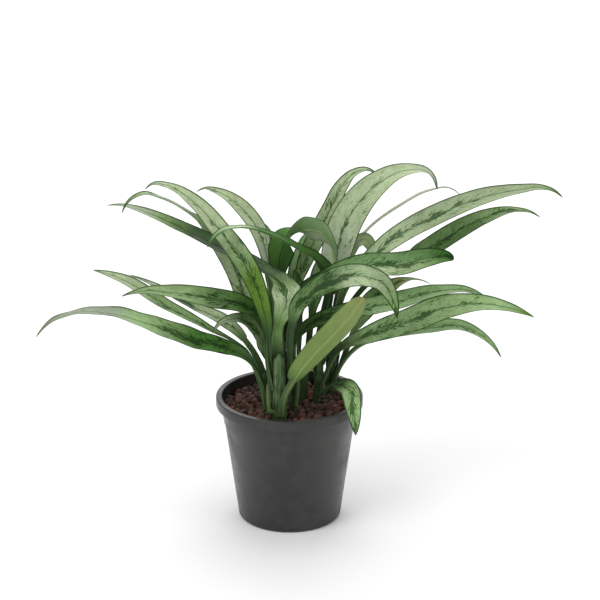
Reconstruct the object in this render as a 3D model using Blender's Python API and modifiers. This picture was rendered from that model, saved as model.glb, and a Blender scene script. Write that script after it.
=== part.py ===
"""A potted Chinese evergreen (a narrow-leaved Aglaonema) in a 12 cm nursery pot.

The pot stands on z = 0 with its axis on Z.  Seven canes are rooted in the potting mix.  Every leaf is
one solid: a sheath that hugs its cane, a channelled petiole and a lance-shaped blade.
Lengths in the tables are millimetres; Blender gets metres.
"""

import math
from collections import namedtuple

import bmesh
import bpy
import numpy as np

MM = 0.001
GAP = 0.35  # clearance that touching pieces keep

# Pot: a 12 cm thermoformed nursery pot.
POT_HEIGHT = 105.0
RIM_RADIUS = 60.0
LIP_WIDTH = 5.0
LIP_HEIGHT = 8.0
LIP_OVERHANG = 3.0
FOOT_RADIUS = 42.0
FOOT_RING_WIDTH = 4.0
WALL = 1.5
EDGE = 1.0  # bevel of the lip and of the steps in the floor
CORNER = 2.0  # bevel between floor and wall
FOOT_DISC_RADIUS = 21.0
DRAIN_RING_RADIUS = 30.0
DRAIN_RADIUS = 4.5
DRAIN_COUNT = 6
DRAIN_RECESS = 2.0
TURN_STEPS = 40

# Potting mix.
SOIL_LEVEL = 96.0
SOIL_CROWN = 2.5  # how much the middle stands above the edge
SOIL_INSET = 0.5  # between the mix and the wall

# Canes.
CANE_DEPTH = 24.0  # length of cane below the surface
CANE_TAPER = 0.3  # share of the foot radius lost by the top
CANE_TIP = 0.35  # radius of the growing tip, as a share of the foot radius
SOCKET_TOP = 12.0  # how far a socket's cutter stands above the surface

# Leaf section.
SHEATH_LENGTH = 20.0
SHEATH_CURL = math.radians(35)
SHEATH_THICKNESS = 1.3
PETIOLE_CURL = math.radians(50)
PETIOLE_THICKNESS = 2.2
BLADE_CURL = math.radians(24)
MIDRIB_THICKNESS = 1.2
MIDRIB_TAPER = 0.55  # share of its thickness that the midrib loses by the tip
LAMINA_SHARE = 0.55  # thickness half way to the margin, as a share of the middle
LEAST_HALF_WIDTH = 0.35
BLADE_OPENING = 0.15  # share of the blade over which the petiole's channel opens out
TIP_MARGIN = 0.005  # share of the blade left off at its tip
SHEATH_LEAN = math.radians(6)  # how far a petiole leans away from the cane where it leaves it
STALK_RINGS = 7
BLADE_RINGS = 13
UPPER_POINTS = 5  # section points over the upper face, margins included

# Colours, linear RGB.
BLACK_PLASTIC = (0.012, 0.012, 0.013)
PEAT = (0.06, 0.028, 0.018)
CANE_GREEN = (0.06, 0.13, 0.05)
SILVER_GREEN = (0.22, 0.36, 0.17)
DARK_GREEN = (0.05, 0.14, 0.04)
YELLOW_GREEN = (0.27, 0.34, 0.09)
STRAW = (0.36, 0.27, 0.12)
LEAF_COLOURS = {
    "leaf_front_4": YELLOW_GREEN,
    "leaf_front_6": DARK_GREEN,
    "leaf_middle_1": DARK_GREEN,
    "leaf_back_3": DARK_GREEN,
    "leaf_far_right_2": DARK_GREEN,
    "dry_sheath": STRAW,
}

# Each cane: foot on the potting mix (x right, y back), top (x, y, height above the mix), foot radius.
Shoot = namedtuple("Shoot", "foot top radius")
SHOOTS = {
    "front": Shoot((-8, -34), (-7.8, -34.4, 57), 6.2),
    "left": Shoot((-17, -20), (-20, -18, 34), 3.4),
    "middle": Shoot((3, -18), (3, -15, 38), 3.2),
    "inner": Shoot((10, 9), (13, 10, 44), 4.4),
    "right": Shoot((22, 3), (26, 3, 46), 3.8),
    "far_right": Shoot((33, 21), (38, 24, 48), 3.4),
    "back": Shoot((-5, 17), (-6, 20, 50), 3.8),
}

# Each leaf: its cane; the height of its foot above the mix; its bearing on the cane in degrees from +X
# towards +Y; the blade's width and how far along it is widest; points of the petiole (x right, y back,
# z above the mix); points of the blade's midrib from base to tip with, last, how far the upper face
# is tipped from straight up towards the front, in degrees; how late the blade narrows (1 early, 0 blunt);
# how slowly it widens above its base (below 1 a rounded base, above 1 a wedge); the petiole's width.
Leaf = namedtuple("Leaf", "cane node socket width widest petiole blade point base petiole_width",
                  defaults=(0.85, 1.0, 4.0))
LEAVES = {
    "leaf_front_1": Leaf("front", 26, 172, 19, 0.45, [(-15.6, -31.5, 52)],
                         [(-16, -31, 68, 40), (-21, -34, 98, 32), (-32, -37, 128, 30), (-54, -32, 159, 28),
                          (-74, -28, 181, 28), (-94, -25, 193, 20), (-105, -23, 194, 20),
                          (-112, -22, 189, 20)]),
    "leaf_front_2": Leaf("front", 32, 90, 27, 0.24, [(-8.4, -27.6, 48), (-9.2, -29.6, 62)],
                         [(-9.3, -32, 71, 90), (-7, -33, 86, 88), (-2, -31, 101, 65), (-4, -24, 110, -15),
                          (-22, -8, 119, -15), (-54, 12, 130, 4), (-88, 24, 144, 12), (-121, 33, 156, 14),
                          (-136, 37, 159, 14), (-148, 40, 158, 12)],
                         0.85, 6.0, 9.0),
    "leaf_front_3": Leaf("front", 16, 10, 21, 0.45, [(0.5, -33, 50)],
                         [(2, -38, 82, 50), (8, -40, 101, 35), (20, -40, 112, 35), (40, -40, 122, 45),
                          (57, -43, 125, 50), (72, -47, 121, 50), (80, -51, 110, 60), (84, -54, 94, 70)],
                         0.85, 1.0, 5.0),
    "leaf_front_4": Leaf("front", 5, 295, 23, 0.6, [(-4, -41, 22)],
                         [(3, -44, 38, -60), (21, -47, 63, -60), (41, -51, 87, -60), (58, -53, 111, -60)],
                         0.45, 0.35, 4.8),
    "leaf_front_5": Leaf("front", 14, 150, 20, 0.4, [(-16.6, -28, 46)],
                         [(-20, -27, 76, 30), (-26, -26, 89, 30), (-37, -28, 96, 35), (-62, -33, 103, 38),
                          (-93, -38, 110, 22), (-112, -40, 112, 15), (-131, -38, 107, 20)]),
    "leaf_front_6": Leaf("front", 5, 98, 17, 0.4, [(-12, -23.5, 28)],
                         [(-17, -21, 48, 30), (-23, -22, 69, 30), (-31, -25, 80, 35), (-40, -27, 84, 15),
                          (-50, -28, 83, 10), (-61, -28, 72, 10)]),
    "leaf_left_1": Leaf("left", 4, 230, 21, 0.4, [(-22, -25, 30)],
                        [(-29, -28, 47, 30), (-47, -36, 62, 30), (-74, -44, 72, 32), (-108, -51, 88, 20),
                         (-139, -56, 99, 8), (-165, -60, 101, 0), (-184, -62, 94, 5), (-196, -63, 82, 10)],
                        0.85, 1.0, 5.2),
    "leaf_left_2": Leaf("left", 10, 165, 15, 0.6, [(-27, -17, 38)],
                        [(-36, -12, 52, 20), (-66, -3, 68, 12), (-100, 3, 85, 15), (-132, 8, 104, 22),
                         (-158, 12, 112, 20)]),
    "leaf_left_3": Leaf("left", 16, 75, 13, 0.3, [(-24, -11, 40)],
                        [(-36, -4, 58, 25), (-51, 3, 70, 30), (-81, 12, 82, 5), (-109, 20, 96, 10),
                         (-130, 24, 104, 10)]),
    "leaf_middle_1": Leaf("middle", 14, 84, 22, 0.55, [(3, -10, 56)],
                          [(5, -9, 86, 30), (12, -7, 101, 30), (30, -7, 111, 28), (56, -6, 121, 32),
                           (88, -8, 123, 48), (112, -9, 129, 45), (124, -9, 130, 42), (131, -8, 128, 40)],
                          0.45),
    "leaf_middle_2": Leaf("middle", 6, 318, 20, 0.45, [(6, -20.5, 35)],
                          [(3, -18, 60, 30), (11, -16, 71, 30), (23, -12, 77, 30), (45, -5, 81, 30),
                           (87, 3, 88, 30), (121, 6, 96, 22), (144, 8, 96, 20), (160, 8, 89, 20)]),
    "leaf_inner_1": Leaf("inner", 12, 62, 16, 0.45, [(15, 15, 40)],
                         [(18, 26, 66, 10), (23, 48, 86, 0), (29, 76, 97, 0), (35, 102, 90, 0)]),
    "leaf_inner_2": Leaf("inner", 20, 205, 12, 0.4, [(8, 8, 52)],
                         [(8, 9, 74, 60), (7, 11, 96, 60), (4, 14, 112, 60)]),
    "leaf_right_1": Leaf("right", 20, 165, 18, 0.35, [(22, 7, 46), (27, 9, 74)],
                         [(31, 12, 94, 60), (30, 12, 109, 45), (21, 5, 123, 32), (5, -12, 139, 20),
                          (-15, -24, 153, 5), (-38, -34, 162, -8), (-53, -42, 161, 10),
                          (-63, -48, 150, 40)]),
    "leaf_right_2": Leaf("right", 28, 80, 27, 0.35, [(29, 12, 62)],
                         [(33, 18, 89, 70), (37, 25, 117, 70), (48, 31, 150, 60), (69, 36, 175, 45),
                          (93, 40, 187, 25), (112, 43, 185, 15), (120, 44, 170, 20)],
                         0.85, 1.0, 5.0),
    "leaf_right_3": Leaf("right", 34, 20, 20, 0.45, [(36, 8, 66)],
                         [(46, 10, 98, 40), (77, 14, 132, 40), (117, 16, 156, 40), (156, 16, 172, 35),
                          (184, 16, 178, 25), (200, 15, 180, 22), (209, 15, 178, 20), (218, 14, 172, 20)]),
    "leaf_right_4": Leaf("right", 10, 330, 23, 0.45, [(32, -2, 35)],
                         [(39, -7, 50, 35), (65, -12, 65, 40), (96, -14, 77, 45), (124, -15, 89, 45),
                          (156, -17, 93, 30), (175, -18, 90, 25), (195, -20, 83, 20)],
                         0.85, 1.0, 5.0),
    "leaf_right_5": Leaf("right", 3, 285, 16, 0.4, [(27, -5, 13)],
                         [(33, -9, 20, 20), (41, -20, 25, 35), (48, -31, 25, 50), (51, -41, 14, 85),
                          (53, -44, -9, 90)]),
    "leaf_far_right_1": Leaf("far_right", 26, 110, 10, 0.45, [(39, 32, 80)],
                             [(47, 37, 112, 30), (62, 42, 135, -12), (90, 46, 156, -12), (114, 49, 168, -12),
                              (130, 50, 170, -12), (140, 50, 163, -12)]),
    "leaf_far_right_2": Leaf("far_right", 18, 34, 19, 0.3, [(47, 28, 72), (74, 32, 103)],
                             [(98, 34, 116, 38), (117, 35, 125, 42), (132, 37, 134, 42), (159, 38, 148, 32),
                              (183, 39, 154, 15), (197, 39, 152, 10), (204, 39, 148, 10)]),
    "leaf_far_right_3": Leaf("far_right", 4, 304, 16, 0.5, [(41, 13, 28)],
                             [(53, 10, 45, 10), (82, 6, 58, 15), (114, 4, 65, 20), (138, 3, 67, 20),
                              (153, 2, 61, 15), (163, 1, 53, 10), (172, 0, 41, 10)]),
    "leaf_far_right_4": Leaf("far_right", 10, 350, 17, 0.3, [(46.3, 17, 41)],
                             [(54, 22, 58, 50), (64, 28, 75, 60), (78, 34, 87, 50), (92, 39, 93, 20),
                              (105, 42, 94, -12), (118, 44, 88, -10)],
                             1.4),
    "leaf_far_right_5": Leaf("far_right", 30, 205, 11, 0.7, [(40, 27, 76)],
                             [(46, 31, 99, 30), (50, 31, 118, 30), (55, 31, 129, 40), (61, 31, 132, 60),
                              (66, 30, 127, 70), (70, 29, 119, 80)],
                             0.7),
    "leaf_far_right_6": Leaf("far_right", 12, 140, 18, 0.45, [(32, 31, 50)],
                             [(33, 41, 84, 0), (46, 72, 126, 0), (58, 104, 146, 0), (66, 128, 140, 0)]),
    "leaf_back_1": Leaf("back", 6, 230, 18, 0.3, [(-14, 14, 30)],
                        [(-24, 17, 52, 40), (-34, 24, 79, 50), (-45, 33, 107, 50), (-60, 39, 129, 30),
                         (-80, 40, 150, -5), (-103, 36, 165, -5), (-118, 31, 170, 15), (-128, 28, 166, 20),
                         (-135, 26, 155, 20)]),
    "leaf_back_2": Leaf("back", 16, 185, 15, 0.5, [(-13, 21, 60)],
                        [(-15, 26, 92, 30), (-17, 29, 111, 35), (-25, 34, 138, 38), (-40, 40, 157, 38),
                         (-58, 44, 168, 20), (-70, 47, 170, 5), (-76, 48, 167, 0)]),
    "leaf_back_3": Leaf("back", 30, 70, 26, 0.5, [(-7.5, 24.5, 65)],
                        [(-8.5, 25, 90, 80), (-8.5, 25, 112, 75), (-4, 24, 130, 45), (4, 22, 140, -10),
                         (14, 20, 143, -70), (24, 17, 142, -70), (33, 13, 134, -30), (37, 11, 117, 0)],
                        1.1),
    "leaf_back_4": Leaf("back", 20, 20, 16, 0.45, [(1.5, 23, 58)],
                        [(5, 29, 86, 60), (11, 34, 107, 60), (23, 41, 133, 62), (33, 45, 152, 60),
                         (42, 50, 170, 40), (52, 53, 181, 30), (62, 55, 184, 35), (71, 56, 180, 45)]),
    "leaf_back_5": Leaf("back", 12, 105, 14, 0.45, [(-4, 29, 50)],
                        [(-1, 33, 80, 30), (3, 40, 96, 20), (10, 58, 110, 10), (18, 88, 118, 0),
                         (25, 108, 112, 0)]),
    "leaf_back_6": Leaf("back", 4, 155, 14, 0.45, [(-14, 28, 44)],
                        [(-15, 36, 80, 10), (-16, 52, 102, 0), (-20, 76, 119, 0), (-27, 100, 124, 0),
                         (-33, 118, 118, 0)]),
    "dry_sheath": Leaf("front", 5, 216, 3.6, 0.3, [],
                       [(-15.4, -40.6, 10, -80), (-16.8, -40.3, 22, -80), (-17.4, -39, 34, -80)]),
}


# ---------------------------------------------------------------- helpers

def clear_scene():
    for obj in list(bpy.data.objects):
        bpy.data.objects.remove(obj)


def material(name, colour, roughness):
    mat = bpy.data.materials.new(name)
    mat.use_nodes = True
    shader = mat.node_tree.nodes["Principled BSDF"]
    shader.inputs["Base Color"].default_value = (*colour, 1)
    shader.inputs["Roughness"].default_value = roughness
    return mat


def add_object(name, data, collection, mat=None):
    obj = bpy.data.objects.new(name, data)
    collection.objects.link(obj)
    if mat:
        data.materials.append(mat)
    return obj


def turned(name, outline, collection, mat):
    """A solid of revolution from (radius, height) points, mm, that run down its outside."""
    mesh = bpy.data.meshes.new(name)
    edges = [(i, i + 1) for i in range(len(outline) - 1)]
    mesh.from_pydata([(r * MM, 0, z * MM) for r, z in outline], edges, [])
    obj = add_object(name, mesh, collection, mat)
    screw = obj.modifiers.new("turn", "SCREW")
    screw.steps = screw.render_steps = TURN_STEPS
    screw.use_merge_vertices = True
    screw.merge_threshold = 0.00005
    screw.use_smooth_shade = True
    return obj


def move_to(obj, collection):
    for old in list(obj.users_collection):
        old.objects.unlink(obj)
    collection.objects.link(obj)


def cut(obj, cutter):
    cutter.hide_render = True
    cutter.display_type = "WIRE"
    boolean = obj.modifiers.new("cut_" + cutter.name, "BOOLEAN")
    boolean.operation = "DIFFERENCE"
    boolean.object = cutter


# ---------------------------------------------------------------- pot

def wall_radius(z):
    """Outer radius of the tapered wall at height z."""
    top = RIM_RADIUS - LIP_OVERHANG
    return FOOT_RADIUS + (top - FOOT_RADIUS) * z / POT_HEIGHT


def pot_outline():
    """Half section of the pot: floor, inside, lip, outside and base."""
    lip_foot = POT_HEIGHT - LIP_HEIGHT
    floor = DRAIN_RECESS + WALL
    ring_inside = FOOT_RADIUS - FOOT_RING_WIDTH
    inside = [
        (0, WALL),
        (FOOT_DISC_RADIUS - EDGE, WALL),
        (FOOT_DISC_RADIUS, floor),
        (wall_radius(floor) - WALL - CORNER, floor),
        (wall_radius(floor + CORNER) - WALL, floor + CORNER),
        (wall_radius(lip_foot) - WALL, lip_foot),
    ]
    lip = [
        (RIM_RADIUS - LIP_WIDTH, POT_HEIGHT - EDGE),
        (RIM_RADIUS - LIP_WIDTH + EDGE, POT_HEIGHT),
        (RIM_RADIUS - EDGE, POT_HEIGHT),
        (RIM_RADIUS, POT_HEIGHT - EDGE),
        (RIM_RADIUS, lip_foot),
    ]
    outside = [
        (wall_radius(lip_foot), lip_foot),
        (wall_radius(CORNER), CORNER),
        (FOOT_RADIUS - EDGE, 0),
    ]
    base = [
        (ring_inside, 0),
        (ring_inside - EDGE, DRAIN_RECESS),
        (FOOT_DISC_RADIUS + EDGE, DRAIN_RECESS),
        (FOOT_DISC_RADIUS, 0),
        (0, 0),
    ]
    return inside + lip + outside + base


def drain_cutter(index, collection):
    bpy.ops.mesh.primitive_cylinder_add(vertices=14, radius=DRAIN_RADIUS * MM, depth=4 * WALL * MM)
    cutter = bpy.context.object
    cutter.name = f"drain_cutter_{index}"
    angle = math.tau * index / DRAIN_COUNT
    x = DRAIN_RING_RADIUS * math.cos(angle)
    y = DRAIN_RING_RADIUS * math.sin(angle)
    z = DRAIN_RECESS + WALL / 2
    cutter.location = (x * MM, y * MM, z * MM)
    move_to(cutter, collection)
    return cutter


def make_pot(parts, cutters):
    pot = turned("pot", pot_outline(), parts, material("black_plastic", BLACK_PLASTIC, 0.35))
    for index in range(DRAIN_COUNT):
        cut(pot, drain_cutter(index, cutters))
    return pot


# ---------------------------------------------------------------- potting mix and canes

def soil_outline():
    """Half section of the mix: from the middle over the crown, down the side and in along the floor."""
    floor = DRAIN_RECESS + WALL + GAP
    inset = WALL + SOIL_INSET
    top_radius = wall_radius(SOIL_LEVEL) - inset
    rounding = top_radius - CORNER
    crown = []
    for share in (0, 0.37, 0.73, 1):
        crown.append((rounding * share, SOIL_LEVEL + SOIL_CROWN * (1 - share**2)))
    side = [
        (top_radius, SOIL_LEVEL - EDGE),
        (wall_radius(floor + CORNER) - inset, floor + CORNER),
        (wall_radius(floor) - inset - CORNER, floor),
        (0, floor),
    ]
    return crown + side


def cane_point(shoot, height):
    """Axis of the cane at a height above the mix, mm."""
    share = height / shoot.top[2]
    foot = np.array([*shoot.foot, SOIL_LEVEL], float)
    top = np.array([shoot.top[0], shoot.top[1], SOIL_LEVEL + shoot.top[2]], float)
    return foot + (top - foot) * share


def cane_radius(shoot, height):
    share = min(max(height / shoot.top[2], 0), 1)
    return shoot.radius * (1 - CANE_TAPER * share)


def curve_tube(name, points, radii, collection, mat):
    """A round tube through points, mm, with a radius at each."""
    curve = bpy.data.curves.new(name, "CURVE")
    curve.dimensions = "3D"
    curve.bevel_depth = MM
    curve.bevel_resolution = 2
    curve.use_fill_caps = True
    spline = curve.splines.new("POLY")
    spline.points.add(len(points) - 1)
    for point, place, radius in zip(spline.points, points, radii):
        point.co = (*(np.asarray(place, float) * MM), 1)
        point.radius = radius
    return add_object(name, curve, collection, mat)


def as_mesh(obj, collection):
    """The curve object as a mesh object with welded caps."""
    mesh = bpy.data.meshes.new_from_object(obj.evaluated_get(bpy.context.evaluated_depsgraph_get()))
    weld = bmesh.new()
    weld.from_mesh(mesh)
    bmesh.ops.remove_doubles(weld, verts=weld.verts, dist=0.00002)
    weld.to_mesh(mesh)
    weld.free()
    name, matrix = obj.name, obj.matrix_world.copy()
    bpy.data.objects.remove(obj)
    made = add_object(name, mesh, collection)
    made.matrix_world = matrix
    return made


def make_cane(name, shoot, collection, mat):
    heights = [-CANE_DEPTH, 0, 0.5 * shoot.top[2], 0.92 * shoot.top[2], shoot.top[2]]
    points = [cane_point(shoot, h) for h in heights]
    radii = [cane_radius(shoot, h) for h in heights[:-1]] + [CANE_TIP * shoot.radius]
    return curve_tube(name, points, radii, collection, mat)


def cane_socket(name, shoot, collection):
    """Cutter for the hole that the cane fills in the mix."""
    ends = [cane_point(shoot, -CANE_DEPTH - GAP), cane_point(shoot, SOCKET_TOP)]
    tube = curve_tube(name, ends, [shoot.radius + GAP] * 2, collection, None)
    return as_mesh(tube, collection)


def make_soil(parts, cutters):
    soil = turned("potting_mix", soil_outline(), parts, material("peat", PEAT, 0.95))
    for name, shoot in SHOOTS.items():
        cut(soil, cane_socket(f"socket_{name}", shoot, cutters))
    return soil


# ---------------------------------------------------------------- leaves

def unit(vector):
    return vector / np.linalg.norm(vector, axis=-1, keepdims=True)


def eased(share):
    """0 to 1 with a gentle start and end."""
    return share * share * (3 - 2 * share)


def smooth_curve(points, first_tangent, samples=240):
    """A smooth curve through points, sampled densely, that leaves in a given direction.

    Returns the samples, the length along at each sample and the length along at each point.
    """
    points = np.asarray(points, float)
    steps = np.linalg.norm(np.diff(points, axis=0), axis=1)
    slopes = np.diff(points, axis=0) / steps[:, None]
    tangents = [first_tangent]
    for i in range(1, len(steps)):
        before, after = steps[i - 1], steps[i]
        tangents.append((slopes[i - 1] * after + slopes[i] * before) / (before + after))
    tangents.append(2 * slopes[-1] - tangents[-1])
    tangents = np.array(tangents)
    knots = np.concatenate([[0], np.cumsum(steps)])
    place = np.linspace(0, knots[-1], samples)
    piece = np.clip(np.searchsorted(knots, place, side="right") - 1, 0, len(steps) - 1)
    t = ((place - knots[piece]) / steps[piece])[:, None]
    leave = tangents[piece] * steps[piece][:, None]
    arrive = tangents[piece + 1] * steps[piece][:, None]
    line = ((2 * t**3 - 3 * t**2 + 1) * points[piece] + (t**3 - 2 * t**2 + t) * leave
            + (3 * t**2 - 2 * t**3) * points[piece + 1] + (t**3 - t**2) * arrive)
    length = np.concatenate([[0], np.cumsum(np.linalg.norm(np.diff(line, axis=0), axis=1))])
    return line, length, np.interp(knots, place, length)


def carried_normals(line, tangents, first_normal):
    """Normals carried along a line with as little turning as possible (double reflection)."""
    normals = [unit(first_normal - (first_normal @ tangents[0]) * tangents[0])]
    for i in range(len(line) - 1):
        chord = line[i + 1] - line[i]
        scale = 2 / (chord @ chord)
        normal = normals[-1] - scale * (chord @ normals[-1]) * chord
        tangent = tangents[i] - scale * (chord @ tangents[i]) * chord
        turn = tangents[i + 1] - tangent
        if turn @ turn > 1e-14:
            normal = normal - 2 / (turn @ turn) * (turn @ normal) * turn
        normals.append(normal)
    return np.array(normals)


def leaf_line(leaf):
    """Midrib samples with side and upper normal, the length along, and the length of the petiole, mm."""
    shoot = SHOOTS[leaf.cane]
    bearing = math.radians(leaf.socket)
    outward = np.array([math.cos(bearing), math.sin(bearing), 0])
    axis = unit(cane_point(shoot, 1) - cane_point(shoot, 0))
    foot = cane_point(shoot, leaf.node) + outward * (cane_radius(shoot, leaf.node) + GAP)
    route = [(x, y, SOIL_LEVEL + z) for x, y, z in leaf.petiole + [p[:3] for p in leaf.blade]]
    first = axis * math.cos(SHEATH_LEAN) + outward * math.sin(SHEATH_LEAN)
    line, length, knots = smooth_curve([foot, *route], first)
    tangents = unit(np.gradient(line, axis=0))
    carried = carried_normals(line, tangents, -outward)
    blade_knots = knots[1 + len(leaf.petiole):]
    stalk = blade_knots[0]
    tilt = np.radians(np.interp(length, blade_knots, [p[3] for p in leaf.blade]))
    face = np.stack([0 * tilt, -np.sin(tilt), np.cos(tilt)], axis=1)
    side = np.cross(tangents, carried)
    bearing_of_face = np.arctan2(-np.sum(face * side, axis=1), np.sum(face * carried, axis=1))
    twist = np.unwrap(bearing_of_face[length >= stalk])
    twist -= math.tau * round(twist[0] / math.tau)
    petiole_twist = twist[0] * eased(length[length < stalk] / stalk)
    twist = np.concatenate([petiole_twist, twist])[:, None]
    normal = carried * np.cos(twist) - side * np.sin(twist)
    return line, np.cross(tangents, normal), normal, length, stalk


def blade_half_width(leaf, share):
    """Lance shape: 0 at both ends, 1 at its widest."""
    share = min(max(share, 0.0), 1.0)
    rise = leaf.point * leaf.widest / (1 - leaf.widest)
    lance = (share / leaf.widest) ** rise * ((1 - share) / (1 - leaf.widest)) ** leaf.point
    return lance**leaf.base if share < leaf.widest else lance


def section(leaf, distance, stalk, total):
    """Half width, curl and middle thickness at a distance from the foot, mm."""
    foot_radius = cane_radius(SHOOTS[leaf.cane], leaf.node) + GAP
    free = eased(min(distance / SHEATH_LENGTH, 1.0))
    half = foot_radius * SHEATH_CURL * (1 - free) + leaf.petiole_width / 2 * free
    curl = SHEATH_CURL * (1 - free) + PETIOLE_CURL * free
    thick = SHEATH_THICKNESS * (1 - free) + PETIOLE_THICKNESS * free
    share = (distance - stalk) / (total - stalk)
    if share > 0:
        opened = min(share / BLADE_OPENING, 1.0)
        lance = leaf.width / 2 * blade_half_width(leaf, share)
        half = max(math.hypot(half * (1 - opened), lance), LEAST_HALF_WIDTH)
        curl = curl * (1 - opened) + BLADE_CURL * opened
        thick = thick * (1 - opened) + MIDRIB_THICKNESS * opened * (1 - MIDRIB_TAPER * share)
    return half, curl, thick


def ring(centre, side, normal, half, curl, thick):
    """Eight points round the section: five over the upper face, three under it."""
    radius = half / curl
    points = []
    for q in (-1, -0.5, 0, 0.5, 1):
        a = q * curl
        points.append(centre + side * radius * math.sin(a) + normal * radius * (1 - math.cos(a)))
    for q, share in ((0.5, LAMINA_SHARE), (0, 1), (-0.5, LAMINA_SHARE)):
        a = q * curl
        on = centre + side * radius * math.sin(a) + normal * radius * (1 - math.cos(a))
        points.append(on - (normal * math.cos(a) - side * math.sin(a)) * thick * share)
    return points


def make_leaf(name, leaf, collection, mat):
    line, side, normal, length, stalk = leaf_line(leaf)
    total = length[-1]
    petiole_stations = np.linspace(0, stalk, STALK_RINGS, endpoint=False)
    blade_stations = np.linspace(stalk, total - TIP_MARGIN * (total - stalk), BLADE_RINGS)
    shape = bmesh.new()
    rings = []
    for station in [*petiole_stations, *blade_stations]:
        centre, across, up = (np.array([np.interp(station, length, values[:, i]) for i in range(3)])
                              for values in (line, side, normal))
        points = ring(centre, unit(across), unit(up), *section(leaf, station, stalk, total))
        rings.append([shape.verts.new(p * MM) for p in points])
    for low, high in zip(rings, rings[1:]):
        for i in range(len(low)):
            j = (i + 1) % len(low)
            # Both faces of the blade are split along the same diagonal, so a twist never crosses them.
            start, end = (i, j) if i < UPPER_POINTS - 1 else (j, i)
            shape.faces.new((low[i], low[j], high[end]))
            shape.faces.new((low[start], high[j], high[i]))
    shape.faces.new(rings[0])
    shape.faces.new(rings[-1])
    bmesh.ops.recalc_face_normals(shape, faces=shape.faces)
    mesh = bpy.data.meshes.new(name)
    shape.to_mesh(mesh)
    shape.free()
    mesh.shade_smooth()
    return add_object(name, mesh, collection, mat)


# ---------------------------------------------------------------- assembly

def main():
    clear_scene()
    parts = bpy.data.collections.new("potted_chinese_evergreen")
    cutters = bpy.data.collections.new("cutters")
    for collection in (parts, cutters):
        bpy.context.scene.collection.children.link(collection)
    make_pot(parts, cutters)
    make_soil(parts, cutters)
    for name, shoot in SHOOTS.items():
        make_cane(f"cane_{name}", shoot, parts, material(f"green_cane_{name}", CANE_GREEN, 0.5))
    for name, leaf in LEAVES.items():
        colour = LEAF_COLOURS.get(name, SILVER_GREEN)
        make_leaf(name, leaf, parts, material(f"green_{name}", colour, 0.45))


main()
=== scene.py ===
"""The looks of a potted Chinese evergreen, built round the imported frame.

Each leaf, each cane, the potting mix and the pot get a finer mesh that stands for their CAD node.
Lengths in the tables and in the mesh code are millimetres, and Blender gets metres.
"""

import math
from collections import namedtuple

import bmesh
import bpy
import numpy as np
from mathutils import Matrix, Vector, noise


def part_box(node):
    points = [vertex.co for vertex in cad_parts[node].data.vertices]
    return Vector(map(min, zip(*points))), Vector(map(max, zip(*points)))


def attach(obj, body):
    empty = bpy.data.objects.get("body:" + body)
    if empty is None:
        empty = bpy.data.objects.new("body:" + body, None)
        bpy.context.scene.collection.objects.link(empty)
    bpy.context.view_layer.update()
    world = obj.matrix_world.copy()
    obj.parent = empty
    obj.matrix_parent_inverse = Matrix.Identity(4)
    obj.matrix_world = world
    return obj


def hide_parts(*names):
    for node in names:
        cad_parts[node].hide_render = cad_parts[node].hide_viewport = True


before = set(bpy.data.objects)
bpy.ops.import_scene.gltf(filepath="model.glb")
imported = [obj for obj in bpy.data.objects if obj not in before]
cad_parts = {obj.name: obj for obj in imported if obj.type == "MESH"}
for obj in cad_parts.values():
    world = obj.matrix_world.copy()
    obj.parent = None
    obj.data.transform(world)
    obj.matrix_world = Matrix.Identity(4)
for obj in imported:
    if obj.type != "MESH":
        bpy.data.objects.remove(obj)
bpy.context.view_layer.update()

MM = 0.001
BODY = "root"

# ---- sizes read from the frame, mm

POT_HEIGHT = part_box("pot")[1].z / MM
RIM_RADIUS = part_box("pot")[1].x / MM
MIX_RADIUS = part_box("potting_mix")[1].x / MM
MIX_CROWN_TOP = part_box("potting_mix")[1].z / MM

# ---- the plant's plan

MIX_CROWN = 2.5  # how far the mix rises in the middle
SOIL_LEVEL = MIX_CROWN_TOP - MIX_CROWN
CANE_TAPER = 0.3
SEED_STEP = 0.37  # neighbours in a table differ by this in what varies at random

# Each cane: foot on the potting mix (x right, y back), top (x, y, height above the mix), foot radius.
Shoot = namedtuple("Shoot", "foot top radius")
SHOOTS = {
    "front": Shoot((-8, -34), (-7.8, -34.4, 57), 6.2),
    "left": Shoot((-17, -20), (-20, -18, 34), 3.4),
    "middle": Shoot((3, -18), (3, -15, 38), 3.2),
    "inner": Shoot((10, 9), (13, 10, 44), 4.4),
    "right": Shoot((22, 3), (26, 3, 46), 3.8),
    "far_right": Shoot((33, 21), (38, 24, 48), 3.4),
    "back": Shoot((-5, 17), (-6, 20, 50), 3.8),
}

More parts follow.
